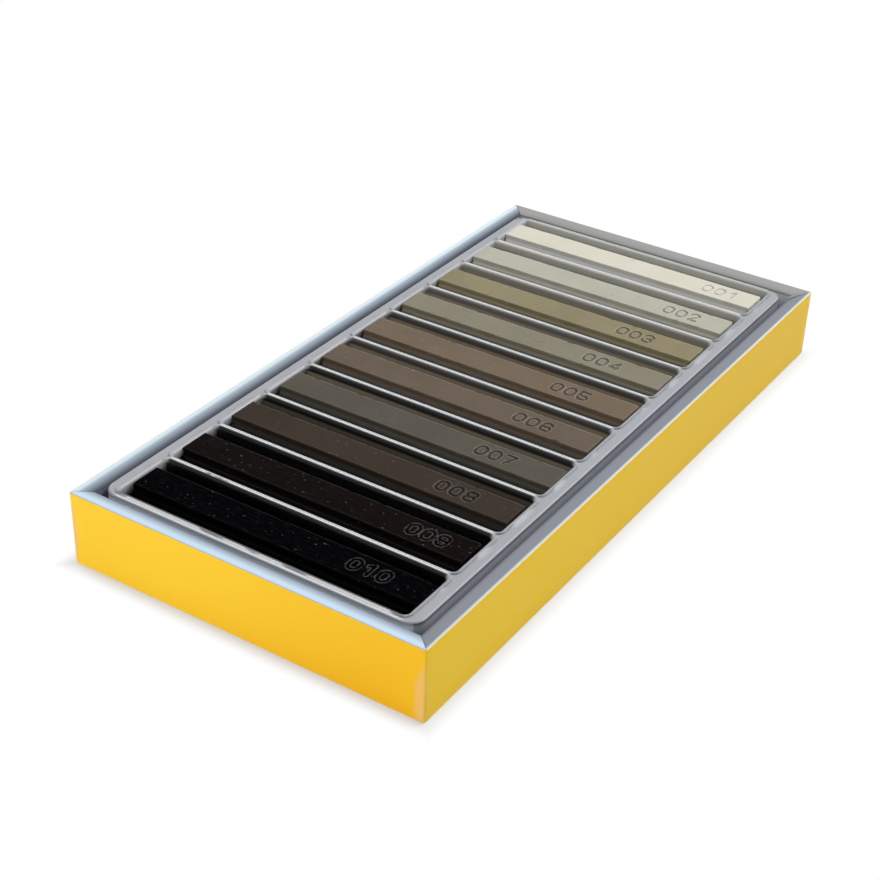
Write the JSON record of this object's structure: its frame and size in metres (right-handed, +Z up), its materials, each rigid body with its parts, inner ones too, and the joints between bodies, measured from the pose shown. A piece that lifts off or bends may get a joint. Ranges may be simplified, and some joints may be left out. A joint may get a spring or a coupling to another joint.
{
  "type": "furniture repair wax stick set",
  "caption": "Open folded carton with a thermoformed inlay that holds a row of soft wax repair sticks in graded colours, each with a stepped section and an engraved number.",
  "frame": {"origin": "middle of the carton's underside, on the surface that it stands on", "axes": "+X along the sticks, the way their numbers read; +Y along the row, from the black stick to the palest; +Z up"},
  "size_m": [0.099, 0.198, 0.02],
  "materials": {
    "carton_board": "coated folding board, yellow outside and grey white inside, satin",
    "inlay_plastic": "thermoformed grey sheet, semi-gloss",
    "wax_01": "cast soft wax, cream, satin",
    "wax_02": "cast soft wax, light grey green, satin",
    "wax_03": "cast soft wax, olive tan, satin",
    "wax_04": "cast soft wax, grey olive, satin",
    "wax_05": "cast soft wax, taupe brown, satin",
    "wax_06": "cast soft wax, brown, satin",
    "wax_07": "cast soft wax, dark olive grey, satin",
    "wax_08": "cast soft wax, dark grey brown, satin",
    "wax_09": "cast soft wax, very dark red brown, satin",
    "wax_10": "cast soft wax, black, satin"
  },
  "bodies": {
    "carton": {"folded_carton": "carton_board"},
    "inlay": {"inlay_tray": "inlay_plastic"},
    "wax_stick_01": {"wax_stick_01": "wax_01"},
    "wax_stick_02": {"wax_stick_02": "wax_02"},
    "wax_stick_03": {"wax_stick_03": "wax_03"},
    "wax_stick_04": {"wax_stick_04": "wax_04"},
    "wax_stick_05": {"wax_stick_05": "wax_05"},
    "wax_stick_06": {"wax_stick_06": "wax_06"},
    "wax_stick_07": {"wax_stick_07": "wax_07"},
    "wax_stick_08": {"wax_stick_08": "wax_08"},
    "wax_stick_09": {"wax_stick_09": "wax_09"},
    "wax_stick_10": {"wax_stick_10": "wax_10"}
  },
  "joints": [
    {"name": "inlay_lift", "type": "slide", "parent": "carton", "child": "inlay", "axis": [0, 0, 1], "range_m": [0, 0.03]},
    {"name": "wax_stick_01_lift", "type": "slide", "parent": "inlay", "child": "wax_stick_01", "axis": [0, 0, 1], "range_m": [0, 0.025]},
    {"name": "wax_stick_02_lift", "type": "slide", "parent": "inlay", "child": "wax_stick_02", "axis": [0, 0, 1], "range_m": [0, 0.025]},
    {"name": "wax_stick_03_lift", "type": "slide", "parent": "inlay", "child": "wax_stick_03", "axis": [0, 0, 1], "range_m": [0, 0.025]},
    {"name": "wax_stick_04_lift", "type": "slide", "parent": "inlay", "child": "wax_stick_04", "axis": [0, 0, 1], "range_m": [0, 0.025]},
    {"name": "wax_stick_05_lift", "type": "slide", "parent": "inlay", "child": "wax_stick_05", "axis": [0, 0, 1], "range_m": [0, 0.025]},
    {"name": "wax_stick_06_lift", "type": "slide", "parent": "inlay", "child": "wax_stick_06", "axis": [0, 0, 1], "range_m": [0, 0.025]},
    {"name": "wax_stick_07_lift", "type": "slide", "parent": "inlay", "child": "wax_stick_07", "axis": [0, 0, 1], "range_m": [0, 0.025]},
    {"name": "wax_stick_08_lift", "type": "slide", "parent": "inlay", "child": "wax_stick_08", "axis": [0, 0, 1], "range_m": [0, 0.025]},
    {"name": "wax_stick_09_lift", "type": "slide", "parent": "inlay", "child": "wax_stick_09", "axis": [0, 0, 1], "range_m": [0, 0.025]},
    {"name": "wax_stick_10_lift", "type": "slide", "parent": "inlay", "child": "wax_stick_10", "axis": [0, 0, 1], "range_m": [0, 0.025]}
  ]
}
